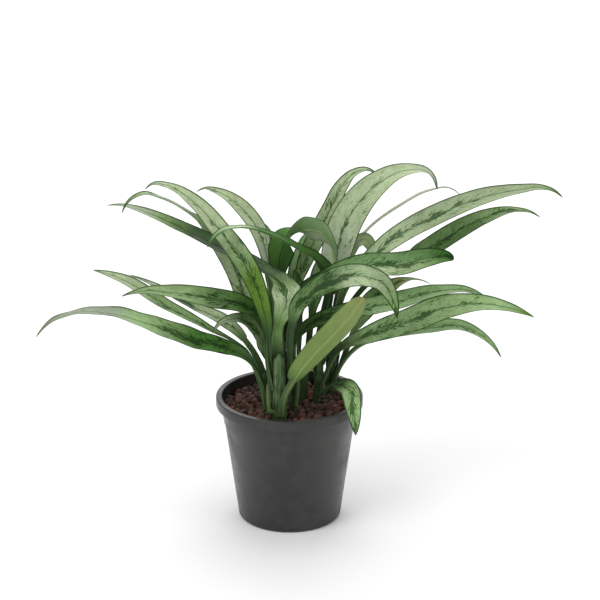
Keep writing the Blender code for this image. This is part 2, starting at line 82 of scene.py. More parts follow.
# Each leaf: its cane; the height of its foot above the mix; its bearing on the cane in degrees from +X
# towards +Y; the blade's width and how far along it is widest; points of the petiole (x right, y back,
# z above the mix); points of the blade's midrib from base to tip with, last, how far the upper face
# is tipped from straight up towards the front, in degrees; how late the blade narrows (1 early, 0 blunt);
# how slowly it widens above its base (below 1 a rounded base, above 1 a wedge); the petiole's width.
Leaf = namedtuple("Leaf", "cane node socket width widest petiole blade point base petiole_width",
                  defaults=(0.85, 1.0, 4.0))
LEAVES = {
    "leaf_front_1": Leaf("front", 26, 172, 19, 0.45, [(-15.6, -31.5, 52)], [
        (-16, -31, 68, 40), (-21, -34, 98, 32), (-32, -37, 128, 30), (-54, -32, 159, 28),
        (-74, -28, 181, 28), (-94, -25, 193, 20), (-105, -23, 194, 20), (-112, -22, 189, 20)]),
    "leaf_front_2": Leaf("front", 32, 90, 27, 0.24, [(-8.4, -27.6, 48), (-9.2, -29.6, 62)], [
        (-9.3, -32, 71, 90), (-7, -33, 86, 88), (-2, -31, 101, 65), (-4, -24, 110, -15),
        (-22, -8, 119, -15), (-54, 12, 130, 4), (-88, 24, 144, 12), (-121, 33, 156, 14),
        (-136, 37, 159, 14), (-148, 40, 158, 12)], base=6, petiole_width=9),
    "leaf_front_3": Leaf("front", 16, 10, 21, 0.45, [(0.5, -33, 50)], [
        (2, -38, 82, 50), (8, -40, 101, 35), (20, -40, 112, 35), (40, -40, 122, 45), (57, -43, 125, 50),
        (72, -47, 121, 50), (80, -51, 110, 60), (84, -54, 94, 70)], petiole_width=5),
    "leaf_front_4": Leaf("front", 5, 295, 23, 0.6, [(-4, -41, 22)], [
        (3, -44, 38, -60), (21, -47, 63, -60), (41, -51, 87, -60), (58, -53, 111, -60)], point=0.45,
        base=0.35, petiole_width=4.8),
    "leaf_front_5": Leaf("front", 14, 150, 20, 0.4, [(-16.6, -28, 46)], [
        (-20, -27, 76, 30), (-26, -26, 89, 30), (-37, -28, 96, 35), (-62, -33, 103, 38),
        (-93, -38, 110, 22), (-112, -40, 112, 15), (-131, -38, 107, 20)]),
    "leaf_front_6": Leaf("front", 5, 98, 17, 0.4, [(-12, -23.5, 28)], [
        (-17, -21, 48, 30), (-23, -22, 69, 30), (-31, -25, 80, 35), (-40, -27, 84, 15), (-50, -28, 83, 10),
        (-61, -28, 72, 10)]),
    "leaf_left_1": Leaf("left", 4, 230, 21, 0.4, [(-22, -25, 30)], [
        (-29, -28, 47, 30), (-47, -36, 62, 30), (-74, -44, 72, 32), (-108, -51, 88, 20), (-139, -56, 99, 8),
        (-165, -60, 101, 0), (-184, -62, 94, 5), (-196, -63, 82, 10)], petiole_width=5.2),
    "leaf_left_2": Leaf("left", 10, 165, 15, 0.6, [(-27, -17, 38)], [
        (-36, -12, 52, 20), (-66, -3, 68, 12), (-100, 3, 85, 15), (-132, 8, 104, 22), (-158, 12, 112, 20)]),
    "leaf_left_3": Leaf("left", 16, 75, 13, 0.3, [(-24, -11, 40)], [
        (-36, -4, 58, 25), (-51, 3, 70, 30), (-81, 12, 82, 5), (-109, 20, 96, 10), (-130, 24, 104, 10)]),
    "leaf_middle_1": Leaf("middle", 14, 84, 22, 0.55, [(3, -10, 56)], [
        (5, -9, 86, 30), (12, -7, 101, 30), (30, -7, 111, 28), (56, -6, 121, 32), (88, -8, 123, 48),
        (112, -9, 129, 45), (124, -9, 130, 42), (131, -8, 128, 40)], point=0.45),
    "leaf_middle_2": Leaf("middle", 6, 318, 20, 0.45, [(6, -20.5, 35)], [
        (3, -18, 60, 30), (11, -16, 71, 30), (23, -12, 77, 30), (45, -5, 81, 30), (87, 3, 88, 30),
        (121, 6, 96, 22), (144, 8, 96, 20), (160, 8, 89, 20)]),
    "leaf_inner_1": Leaf("inner", 12, 62, 16, 0.45, [(15, 15, 40)], [
        (18, 26, 66, 10), (23, 48, 86, 0), (29, 76, 97, 0), (35, 102, 90, 0)]),
    "leaf_inner_2": Leaf("inner", 20, 205, 12, 0.4, [(8, 8, 52)], [
        (8, 9, 74, 60), (7, 11, 96, 60), (4, 14, 112, 60)]),
    "leaf_right_1": Leaf("right", 20, 165, 18, 0.35, [(22, 7, 46), (27, 9, 74)], [
        (31, 12, 94, 60), (30, 12, 109, 45), (21, 5, 123, 32), (5, -12, 139, 20), (-15, -24, 153, 5),
        (-38, -34, 162, -8), (-53, -42, 161, 10), (-63, -48, 150, 40)]),
    "leaf_right_2": Leaf("right", 28, 80, 27, 0.35, [(29, 12, 62)], [
        (33, 18, 89, 70), (37, 25, 117, 70), (48, 31, 150, 60), (69, 36, 175, 45), (93, 40, 187, 25),
        (112, 43, 185, 15), (120, 44, 170, 20)], petiole_width=5),
    "leaf_right_3": Leaf("right", 34, 20, 20, 0.45, [(36, 8, 66)], [
        (46, 10, 98, 40), (77, 14, 132, 40), (117, 16, 156, 40), (156, 16, 172, 35), (184, 16, 178, 25),
        (200, 15, 180, 22), (209, 15, 178, 20), (218, 14, 172, 20)]),
    "leaf_right_4": Leaf("right", 10, 330, 23, 0.45, [(32, -2, 35)], [
        (39, -7, 50, 35), (65, -12, 65, 40), (96, -14, 77, 45), (124, -15, 89, 45), (156, -17, 93, 30),
        (175, -18, 90, 25), (195, -20, 83, 20)], petiole_width=5),
    "leaf_right_5": Leaf("right", 3, 285, 16, 0.4, [(27, -5, 13)], [
        (33, -9, 20, 20), (41, -20, 25, 35), (48, -31, 25, 50), (51, -41, 14, 85), (53, -44, -9, 90)]),
    "leaf_far_right_1": Leaf("far_right", 26, 110, 10, 0.45, [(39, 32, 80)], [
        (47, 37, 112, 30), (62, 42, 135, -12), (90, 46, 156, -12), (114, 49, 168, -12), (130, 50, 170, -12),
        (140, 50, 163, -12)]),
    "leaf_far_right_2": Leaf("far_right", 18, 34, 19, 0.3, [(47, 28, 72), (74, 32, 103)], [
        (98, 34, 116, 38), (117, 35, 125, 42), (132, 37, 134, 42), (159, 38, 148, 32), (183, 39, 154, 15),
        (197, 39, 152, 10), (204, 39, 148, 10)]),
    "leaf_far_right_3": Leaf("far_right", 4, 304, 16, 0.5, [(41, 13, 28)], [
        (53, 10, 45, 10), (82, 6, 58, 15), (114, 4, 65, 20), (138, 3, 67, 20), (153, 2, 61, 15),
        (163, 1, 53, 10), (172, 0, 41, 10)]),
    "leaf_far_right_4": Leaf("far_right", 10, 350, 17, 0.3, [(46.3, 17, 41)], [
        (54, 22, 58, 50), (64, 28, 75, 60), (78, 34, 87, 50), (92, 39, 93, 20), (105, 42, 94, -12),
        (118, 44, 88, -10)], point=1.4),
    "leaf_far_right_5": Leaf("far_right", 30, 205, 11, 0.7, [(40, 27, 76)], [
        (46, 31, 99, 30), (50, 31, 118, 30), (55, 31, 129, 40), (61, 31, 132, 60), (66, 30, 127, 70),
        (70, 29, 119, 80)], point=0.7),
    "leaf_far_right_6": Leaf("far_right", 12, 140, 18, 0.45, [(32, 31, 50)], [
        (33, 41, 84, 0), (46, 72, 126, 0), (58, 104, 146, 0), (66, 128, 140, 0)]),
    "leaf_back_1": Leaf("back", 6, 230, 18, 0.3, [(-14, 14, 30)], [
        (-24, 17, 52, 40), (-34, 24, 79, 50), (-45, 33, 107, 50), (-60, 39, 129, 30), (-80, 40, 150, -5),
        (-103, 36, 165, -5), (-118, 31, 170, 15), (-128, 28, 166, 20), (-135, 26, 155, 20)]),
    "leaf_back_2": Leaf("back", 16, 185, 15, 0.5, [(-13, 21, 60)], [
        (-15, 26, 92, 30), (-17, 29, 111, 35), (-25, 34, 138, 38), (-40, 40, 157, 38), (-58, 44, 168, 20),
        (-70, 47, 170, 5), (-76, 48, 167, 0)]),
    "leaf_back_3": Leaf("back", 30, 70, 26, 0.5, [(-7.5, 24.5, 65)], [
        (-8.5, 25, 90, 80), (-8.5, 25, 112, 75), (-4, 24, 130, 45), (4, 22, 140, -10), (14, 20, 143, -70),
        (24, 17, 142, -70), (33, 13, 134, -30), (37, 11, 117, 0)], point=1.1),
    "leaf_back_4": Leaf("back", 20, 20, 16, 0.45, [(1.5, 23, 58)], [
        (5, 29, 86, 60), (11, 34, 107, 60), (23, 41, 133, 62), (33, 45, 152, 60), (42, 50, 170, 40),
        (52, 53, 181, 30), (62, 55, 184, 35), (71, 56, 180, 45)]),
    "leaf_back_5": Leaf("back", 12, 105, 14, 0.45, [(-4, 29, 50)], [
        (-1, 33, 80, 30), (3, 40, 96, 20), (10, 58, 110, 10), (18, 88, 118, 0), (25, 108, 112, 0)]),
    "leaf_back_6": Leaf("back", 4, 155, 14, 0.45, [(-14, 28, 44)], [
        (-15, 36, 80, 10), (-16, 52, 102, 0), (-20, 76, 119, 0), (-27, 100, 124, 0), (-33, 118, 118, 0)]),
    "dry_sheath": Leaf("front", 5, 216, 3.6, 0.3, [], [
        (-15.4, -40.6, 10, -80), (-16.8, -40.3, 22, -80), (-17.4, -39, 34, -80)]),
}


def linear(*rgb):
    """Scene-linear colour from display values of 0 to 255."""
    return tuple(((c / 255 + 0.055) / 1.055) ** 2.4 if c > 10 else c / 255 / 12.92 for c in rgb)


PALE = linear(184, 195, 170)
SILVER = linear(171, 188, 148)
CHALK = linear(222, 225, 213)
DULL = linear(151, 168, 131)
ASH = linear(140, 152, 129)
MINT = linear(152, 184, 128)
SAGE = linear(134, 160, 108)
MOSS = linear(98, 127, 76)
GREEN = linear(66, 102, 44)
DEEP = linear(43, 70, 28)
BRIGHT = linear(72, 116, 46)
FRESH = linear(98, 133, 48)
LIME = linear(138, 152, 88)
YELLOW = linear(116, 138, 68)
STRAW = linear(146, 134, 82)
STALK = linear(56, 80, 46)
HUSK = linear(80, 72, 44)

# How each leaf looks: tones along the blade as (share of its length, tone), the first and last of which
# hold to its ends; how blotched it is, as (share, 0 to 1); how wavy its margins are (0 flat); how much
# darker one half is (above 0 the half on the right of the midrib seen from the foot, below 0 the left);
# the tone at the top of its petiole.
Look = namedtuple("Look", "tones blotch wave shade stalk", defaults=([(0, 0.5)], 0.4, 0, STALK))
LOOKS = {
    "leaf_front_1": Look(
        [(0, GREEN), (0.2, FRESH), (0.32, FRESH), (0.42, SAGE), (0.6, SILVER), (0.85, SILVER), (1, PALE)],
        [(0.1, 0.1), (0.2, 0.45), (0.5, 0.55), (0.65, 0.35), (1, 0.2)], 0.6),
    "leaf_front_2": Look(
        [(0.05, FRESH), (0.09, MINT), (0.13, SILVER), (0.18, SILVER), (0.22, SAGE), (0.28, GREEN),
         (0.5, DEEP), (0.64, DEEP), (0.72, MOSS), (0.78, SAGE), (0.87, PALE)],
        [(0, 0.2), (0.06, 0.4), (0.15, 0.5), (0.26, 0.6), (0.4, 0.8), (0.5, 0.6), (0.7, 0.3), (1, 0.1)],
        stalk=MOSS),
    "leaf_front_3": Look(
        [(0, MOSS), (0.12, SAGE), (0.2, MOSS), (0.42, MOSS), (0.5, DULL), (0.62, SILVER), (0.75, DULL),
         (0.88, SAGE), (1, FRESH)],
        [(0, 0.5), (0.15, 0.8), (0.42, 0.85), (0.55, 0.45), (0.85, 0.35), (1, 0.6)], 0.6, shade=-0.1),
    "leaf_front_4": Look(
        [(0, FRESH), (0.15, YELLOW), (0.5, YELLOW), (0.9, LIME), (1, STRAW)],
        [(0, 0)], 0.3),
    "leaf_front_5": Look(
        [(0.2, GREEN), (0.42, MOSS), (0.58, SAGE)],
        [(0, 0.5), (0.4, 0.7), (0.6, 0.4), (1, 0.2)], 0.5),
    "leaf_front_6": Look(
        [(0, MOSS), (0.3, SAGE), (0.6, MOSS), (0.8, SILVER)],
        [(0, 0.6), (0.6, 0.5), (0.8, 0.2), (1, 0.1)]),
    "leaf_left_1": Look(
        [(0, MOSS), (0.12, BRIGHT), (0.3, BRIGHT), (0.42, SAGE), (0.55, MINT), (0.65, ASH)],
        [(0, 0.4), (0.2, 0.75), (0.36, 0.65), (0.5, 0.35), (0.65, 0.1), (1, 0)], 1.6),
    "leaf_left_2": Look(
        [(0, SAGE), (0.3, MINT), (0.6, SAGE), (0.75, SILVER)],
        [(0.5, 0.5), (0.7, 0.2), (1, 0.1)]),
    "leaf_left_3": Look(
        [(0, SAGE), (0.12, SILVER), (0.4, SILVER), (0.5, MOSS), (0.62, MOSS), (0.75, PALE)],
        [(0, 0.4), (0.3, 0.3), (0.6, 0.5), (1, 0.1)], stalk=MOSS),
    "leaf_middle_1": Look(
        [(0, DEEP), (0.22, GREEN), (0.36, SAGE), (0.6, SILVER), (0.82, SAGE), (0.93, BRIGHT)],
        [(0, 0.5), (0.4, 0.6), (0.7, 0.6), (0.9, 0.5), (1, 0.4)], shade=-0.38),
    "leaf_middle_2": Look(
        [(0.2, GREEN), (0.33, MOSS), (0.42, MINT)],
        [(0, 0.5), (0.3, 0.8), (0.5, 0.5), (1, 0.35)], 0.5),
    "leaf_inner_1": Look([(0, GREEN), (0.4, MOSS)], wave=0.6),
    "leaf_inner_2": Look([(0, GREEN), (0.4, BRIGHT), (1, MOSS)], wave=0.5),
    "leaf_right_1": Look(
        [(0, DEEP), (0.3, GREEN), (0.5, GREEN), (0.58, BRIGHT), (0.65, BRIGHT), (0.73, SILVER), (1, MINT)],
        [(0, 0.1)], 0.3, shade=-0.35),
    "leaf_right_2": Look(
        [(0, FRESH), (0.12, MINT), (0.22, PALE), (0.4, SILVER), (0.8, SILVER), (1, PALE)],
        [(0.1, 0.3), (0.3, 0.45), (0.5, 0.5), (0.7, 0.2), (1, 0.1)], 0.5),
    "leaf_right_3": Look(
        [(0, SAGE), (0.2, SILVER), (0.3, SILVER), (0.4, DULL), (0.8, DULL), (1, SAGE)],
        [(0.25, 0.5), (0.5, 0.55), (0.65, 0.3), (1, 0.1)], stalk=MOSS),
    "leaf_right_4": Look(
        [(0, MOSS), (0.08, SAGE), (0.2, MINT), (0.4, SAGE), (0.6, SAGE), (0.8, MINT), (0.9, SAGE),
         (0.95, FRESH)],
        [(0, 0.5), (0.3, 0.65), (0.6, 0.6), (0.8, 0.4), (0.93, 0)], 0.6),
    "leaf_right_5": Look(
        [(0.14, DEEP), (0.24, GREEN), (0.38, SAGE), (0.7, MINT), (1, SAGE)],
        [(0, 0.5), (0.3, 0.6), (0.7, 0.6), (1, 0.4)], 0.5),
    "leaf_far_right_1": Look([(0, SILVER), (0.2, CHALK)], [(0, 0)], 0.2, stalk=ASH),
    "leaf_far_right_2": Look(
        [(0, SAGE), (0.2, MOSS), (0.5, MOSS), (0.66, SAGE)],
        [(0, 0.5), (0.8, 0.6), (1, 0.2)], 0.5, shade=0.1),
    "leaf_far_right_3": Look([(0, MINT)], [(0, 0.3), (0.6, 0.4), (1, 0.2)], stalk=MOSS),
    "leaf_far_right_4": Look(
        [(0.15, MINT), (0.28, SAGE), (0.36, MOSS), (0.45, MOSS), (0.6, LIME)],
        [(0, 0.1), (0.4, 0.4), (1, 0.3)], 0.2, stalk=SAGE),
    "leaf_far_right_5": Look(
        [(0, SAGE), (0.3, SILVER), (0.6, SILVER), (0.8, SAGE)],
        [(0, 0)], 0.3, stalk=SAGE),
    "leaf_far_right_6": Look([(0, GREEN), (0.4, SAGE), (1, SILVER)], wave=0.6),
    "leaf_back_1": Look(
        [(0, GREEN), (0.15, SAGE), (0.25, SILVER), (0.45, SILVER), (0.58, MOSS), (0.7, PALE),
         (0.85, SILVER), (1, SAGE)],
        [(0, 0.5), (0.5, 0.55), (0.65, 0.2), (1, 0.1)], 0.5),
    "leaf_back_2": Look(
        [(0, MOSS), (0.1, SILVER), (0.25, PALE), (0.45, SILVER)],
        [(0, 0.5), (0.15, 0.2), (0.5, 0.25), (1, 0.3)], stalk=MOSS),
    "leaf_back_3": Look(
        [(0, DEEP), (0.25, GREEN), (0.45, BRIGHT), (0.55, SAGE), (0.68, PALE), (0.85, PALE), (1, SILVER)],
        [(0, 0.1)], shade=0.38),
    "leaf_back_4": Look(
        [(0, GREEN), (0.1, SAGE), (0.3, SAGE), (0.5, SILVER), (0.85, SILVER), (1, PALE)],
        [(0, 0.5), (0.6, 0.4), (1, 0.1)]),
    "leaf_back_5": Look([(0.4, MOSS), (0.6, BRIGHT), (1, GREEN)], [(0, 0.2)]),
    "leaf_back_6": Look([(0, GREEN), (0.6, MOSS), (1, SILVER)], [(0, 0.4)]),
    "dry_sheath": Look([(0.3, DEEP), (0.6, HUSK)], [(0, 0)], 0.3),
}

# ---- helpers


def mesh_object(name, points, faces):
    """A smooth mesh object from points in mm."""
    mesh = bpy.data.meshes.new(name)
    mesh.from_pydata((np.asarray(points, float) * MM).tolist(), [], faces)
    mesh.validate()
    mesh.shade_smooth()
    obj = bpy.data.objects.new(name, mesh)
    bpy.context.scene.collection.objects.link(obj)
    return obj


def tube_faces(rings, count):
    """Faces of a tube of rings with a number of points each, closed at both ends."""
    faces = []
    for ring in range(rings - 1):
        a, b = ring * count, (ring + 1) * count
        for i in range(count):
            j = (i + 1) % count
            faces.append((a + i, a + j, b + j, b + i))
    faces.append(tuple(reversed(range(count))))
    faces.append(tuple((rings - 1) * count + i for i in range(count)))
    return faces


def turn_faces_outward(obj):
    mesh = bmesh.new()
    mesh.from_mesh(obj.data)
    bmesh.ops.recalc_face_normals(mesh, faces=mesh.faces)
    mesh.to_mesh(obj.data)
    mesh.free()


def point_values(obj, name, *values):
    """Stores one value for each point, or three as a vector, or four as a colour."""
    kinds = {1: ("FLOAT", "value"), 3: ("FLOAT_VECTOR", "vector"), 4: ("FLOAT_COLOR", "color")}
    kind, field = kinds[len(values)]
    layer = obj.data.attributes.new(name, kind, "POINT")
    values = np.stack(np.broadcast_arrays(*values), axis=-1)
    layer.data.foreach_set(field, values.astype(np.float32).ravel())


def stand_for(piece, node, skin):
    """The piece shows instead of a CAD node, in the same place."""
    piece.data.materials.append(skin.mat)
    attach(piece, BODY)
    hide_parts(node)


def unit(vector):
    return vector / np.linalg.norm(vector, axis=-1, keepdims=True)


def on_circle(radius, turn):
    return radius * math.cos(turn), radius * math.sin(turn)


def eased(share):
    """0 to 1 with a gentle start and end."""
    share = np.clip(share, 0, 1)
    return share * share * (3 - 2 * share)


class Skin:
    """A slot's material, with short names for building its node tree."""

    def __init__(self, slot):
        self.slot = slot
        self.mat = bpy.data.materials.new(slot)
        self.mat.use_nodes = True
        self.tree = self.mat.node_tree
        self.shader = self.tree.nodes["Principled BSDF"]

    def put(self, node, socket, value):
        if isinstance(value, bpy.types.NodeSocket):
            self.tree.links.new(value, node.inputs[socket])
        elif value is not None:
            node.inputs[socket].default_value = value

    def make(self, kind, inputs, output=0, **settings):
        node = self.tree.nodes.new(kind)
        for key, value in settings.items():
            setattr(node, key, value)
        for socket, value in inputs.items():
            self.put(node, socket, value)
        return node.outputs[output]

    def attribute(self, name, output="Vector"):
        return self.make("ShaderNodeAttribute", {}, output, attribute_name=name)

    def math(self, operation, a, b=None):
        return self.make("ShaderNodeMath", {0: a, 1: b}, operation=operation)

    def add(self, a, b):
        return self.math("ADD", a, b)

    def times(self, a, b):
        return self.math("MULTIPLY", a, b)

    def most(self, a, b):
        return self.math("MAXIMUM", a, b)

    def ramp(self, value, low, high, out_low=0.0, out_high=1.0):
        """Value eased from out_low at low to out_high at high."""
        inputs = {0: value, 1: low, 2: high, 3: out_low, 4: out_high}
        return self.make("ShaderNodeMapRange", inputs, interpolation_type="SMOOTHSTEP")

    def vector(self, x, y, z):
        return self.make("ShaderNodeCombineXYZ", {0: x, 1: y, 2: z})

    def parts(self, vector):
        return self.make("ShaderNodeSeparateXYZ", {0: vector}, slice(3))

    def noise(self, vector, scale=1, detail=2, roughness=0.5):
        inputs = {"Vector": vector, "Scale": scale, "Detail": detail, "Roughness": roughness}
        return self.make("ShaderNodeTexNoise", inputs)

    def blend(self, share, a, b, mode="MIX"):
        """Colour a turned into colour b by a share."""
        a, b = (c if isinstance(c, bpy.types.NodeSocket) else (*c, 1) for c in (a, b))
        return self.make("ShaderNodeMix", {0: share, 6: a, 7: b}, 2, data_type="RGBA", blend_type=mode)

    def bump(self, height, distance_mm, strength):
        inputs = {"Height": height, "Distance": distance_mm * MM, "Strength": strength}
        return self.make("ShaderNodeBump", inputs)

    def finish(self, **inputs):
        """Fills the shader's sockets, with _ for each space in a socket's name."""
        for socket, value in inputs.items():
            self.put(self.shader, socket.replace("_", " "), value)
        return self


# ---- leaf shape

SHEATH_LENGTH = 20.0
SHEATH_CURL = math.radians(48)
SHEATH_THICKNESS = 1.2
SHEATH_LEAN = math.radians(6)
LEAF_SEAT = 0.15  # how far a sheath's foot is sunk in its cane
PETIOLE_CURL = math.radians(62)
PETIOLE_THICKNESS = 2.3
PETIOLE_ROUNDING = 0.5  # share of its thickness that a petiole loses towards its edges
BLADE_CURL = math.radians(24)
BLADE_OPENING = 0.15  # share of the blade over which the petiole's channel opens out
LAMINA_THICKNESS = 0.42
MARGIN_THICKNESS = 0.2
THICKEST = 1.2  # a leaf's greatest thickness, in half widths
TIP_HALF_WIDTH = 0.15
MIDRIB_HEIGHT = 0.75  # how far the midrib stands out under the blade at its base
MIDRIB_WIDTH = 0.9
MIDRIB_FADE = 0.75  # share of its height that the midrib loses towards the tip
GROOVE_DEPTH = 0.3
GROOVE_WIDTH = 0.7
GROOVE_FADE = 0.6
WAVE_HEIGHT = 0.45
LONG_WAVE = 9.5  # length along the blade over which a margin's wave turns by one radian
SHORT_WAVE = 4.3
CALM_HALF_WIDTH = 4.0  # a blade narrower than this waves less
SHADE_TINT = np.array([1.7, 1.0, 1.8])  # a shaded half loses more red and blue than green
CURVE_SAMPLES = 480
STALK_RINGS = 34
BLADE_RINGS = 110
UPPER_POINTS = 23
POINT_CROWDING = 1.25  # above 1 the points across a leaf lie closer together at its midrib
NO_TURN = 1e-14

# Values at the stations along a leaf, as columns: length past the petiole, half width, curl, thickness of
# the petiole, how far the blade has opened, share of the blade passed and share of the petiole passed.
Stations = namedtuple("Stations", "along half curl thick opened share rise")


def cane_point(shoot, height):
    """Axis of the cane at a height above the mix, mm."""
    share = height / shoot.top[2]
    foot = np.array([*shoot.foot, SOIL_LEVEL], float)
    top = np.array([shoot.top[0], shoot.top[1], SOIL_LEVEL + shoot.top[2]], float)
    return foot + (top - foot) * share


def cane_radius(shoot, height):
    share = min(max(height / shoot.top[2], 0), 1)
    return shoot.radius * (1 - CANE_TAPER * share)


def smooth_curve(points, first_tangent):
    """A smooth curve through points, sampled densely, that leaves in a given direction.

    Returns the samples, the length along at each sample and the length along at each point.
    """
    points = np.asarray(points, float)
    steps = np.linalg.norm(np.diff(points, axis=0), axis=1)
    slopes = np.diff(points, axis=0) / steps[:, None]
    tangents = [first_tangent]
    for i in range(1, len(steps)):
        before, after = steps[i - 1], steps[i]
        tangents.append((slopes[i - 1] * after + slopes[i] * before) / (before + after))
    tangents.append(2 * slopes[-1] - tangents[-1])
    tangents = np.array(tangents)
    knots = np.concatenate([[0], np.cumsum(steps)])
    place = np.linspace(0, knots[-1], CURVE_SAMPLES)
    piece = np.clip(np.searchsorted(knots, place, side="right") - 1, 0, len(steps) - 1)
    t = ((place - knots[piece]) / steps[piece])[:, None]
    leave = tangents[piece] * steps[piece][:, None]
    arrive = tangents[piece + 1] * steps[piece][:, None]
    line = ((2 * t**3 - 3 * t**2 + 1) * points[piece] + (t**3 - 2 * t**2 + t) * leave
            + (3 * t**2 - 2 * t**3) * points[piece + 1] + (t**3 - t**2) * arrive)
    length = np.concatenate([[0], np.cumsum(np.linalg.norm(np.diff(line, axis=0), axis=1))])
    return line, length, np.interp(knots, place, length)


def carried_normals(line, tangents, first_normal):
    """Normals carried along a line with as little turning as possible (double reflection)."""
    normals = [unit(first_normal - (first_normal @ tangents[0]) * tangents[0])]
    for i in range(len(line) - 1):
        chord = line[i + 1] - line[i]
        scale = 2 / (chord @ chord)
        normal = normals[-1] - scale * (chord @ normals[-1]) * chord
        tangent = tangents[i] - scale * (chord @ tangents[i]) * chord
        turn = tangents[i + 1] - tangent
        if turn @ turn > NO_TURN:
            normal = normal - 2 / (turn @ turn) * (turn @ normal) * turn
        normals.append(normal)
    return np.array(normals)


def leaf_line(leaf):
    """Midrib samples with side and upper normal, the length along, and the length of the petiole, mm."""
    shoot = SHOOTS[leaf.cane]
    bearing = math.radians(leaf.socket)
    outward = np.array([math.cos(bearing), math.sin(bearing), 0])
    axis = unit(cane_point(shoot, 1) - cane_point(shoot, 0))
    foot = cane_point(shoot, leaf.node) + outward * (cane_radius(shoot, leaf.node) - LEAF_SEAT)
    route = [(x, y, SOIL_LEVEL + z) for x, y, z in leaf.petiole + [p[:3] for p in leaf.blade]]
    first = axis * math.cos(SHEATH_LEAN) + outward * math.sin(SHEATH_LEAN)
    line, length, knots = smooth_curve([foot, *route], first)
    tangents = unit(np.gradient(line, axis=0))
    carried = carried_normals(line, tangents, -outward)
    blade_knots = knots[1 + len(leaf.petiole):]
    stalk = blade_knots[0]
    tilt = np.radians(np.interp(length, blade_knots, [p[3] for p in leaf.blade]))
    face = np.stack([0 * tilt, -np.sin(tilt), np.cos(tilt)], axis=1)
    side = np.cross(tangents, carried)
    bearing_of_face = np.arctan2(-np.sum(face * side, axis=1), np.sum(face * carried, axis=1))
    twist = np.unwrap(bearing_of_face[length >= stalk])
    twist -= math.tau * round(twist[0] / math.tau)
    petiole_twist = twist[0] * eased(length[length < stalk] / stalk)
    twist = np.concatenate([petiole_twist, twist])[:, None]
    normal = carried * np.cos(twist) - side * np.sin(twist)
    return line, np.cross(tangents, normal), normal, length, stalk


def blade_half_width(leaf, share):
    """Lance shape: 0 at both ends, 1 at its widest."""
    rise = leaf.point * leaf.widest / (1 - leaf.widest)
    lance = (share / leaf.widest) ** rise * ((1 - share) / (1 - leaf.widest)) ** leaf.point
    return np.where(share < leaf.widest, lance**leaf.base, lance)


def leaf_values(leaf, stations, stalk, total):
    """The leaf's Stations, from sheath over petiole to blade."""
    foot_radius = cane_radius(SHOOTS[leaf.cane], leaf.node) - LEAF_SEAT
    free = eased(stations / SHEATH_LENGTH)
    half = foot_radius * SHEATH_CURL * (1 - free) + leaf.petiole_width / 2 * free
    curl = SHEATH_CURL * (1 - free) + PETIOLE_CURL * free
    thick = SHEATH_THICKNESS * (1 - free) + PETIOLE_THICKNESS * free
    share = np.clip((stations - stalk) / (total - stalk), 0, 1)
    opened = np.clip(share / BLADE_OPENING, 0, 1)
    lance = leaf.width / 2 * blade_half_width(leaf, share)
    half = np.maximum(np.hypot(half * (1 - opened), lance), TIP_HALF_WIDTH)
    curl = curl * (1 - opened) + BLADE_CURL * opened
    rise = np.minimum(stations / stalk, 1)
    return Stations(*(v[:, None] for v in (stations - stalk, half, curl, thick, opened, share, rise)))


def leaf_face(at, q, wave, seed):
    """Sideways place, height and slope angle of the upper face, at places q from -1 to 1 across."""
    angle = q * at.curl
    sideways = at.half / at.curl * np.sin(angle)
    waves = (np.sin(at.along / LONG_WAVE + 2.1 * seed + np.sign(q) * (0.9 + seed))
             + 0.5 * np.sin(at.along / SHORT_WAVE + 5 * seed + q))
    free_width = np.minimum(at.half / CALM_HALF_WIDTH, 1)
    ripple = wave * WAVE_HEIGHT * at.opened * np.abs(q) ** 3 * waves * free_width
    groove = GROOVE_DEPTH * at.opened * (1 - GROOVE_FADE * at.share)
    groove = groove * np.exp(-(sideways / GROOVE_WIDTH) ** 2)
    return sideways, at.half / at.curl * (1 - np.cos(angle)) - groove + ripple, angle


def leaf_depth(at, q, sideways):
    """Thickness of the leaf, at places q across."""
    stalk = at.thick * (1 - PETIOLE_ROUNDING * q**2)
    rib = MIDRIB_HEIGHT * (1 - MIDRIB_FADE * at.share) * np.exp(-(sideways / MIDRIB_WIDTH) ** 2)
    lamina = MARGIN_THICKNESS + (LAMINA_THICKNESS - MARGIN_THICKNESS) * (1 - q**4)
    return np.minimum(stalk * (1 - at.opened) + (lamina + rib) * at.opened, at.half * THICKEST)


def leaf_tones(look, at, q):
    """Red, green, blue and how blotched it is, for each point of the leaf."""
    stops, colours = (np.array(column) for column in zip(*look.tones))
    blade = np.stack([np.interp(at.share[:, 0], stops, colours[:, i]) for i in range(3)], axis=1)
    foot, head = np.array(STALK), np.array(look.stalk)
    tone = blade * at.opened + (foot + (head - foot) * at.rise**3) * (1 - at.opened)
    shade = 1 - abs(look.shade) * eased(0.5 + 2.5 * q * math.copysign(1, look.shade))
    colour = tone[:, None] * shade[..., None] ** SHADE_TINT
    return *np.moveaxis(colour, -1, 0), np.interp(at.share, *zip(*look.blotch)) * at.opened


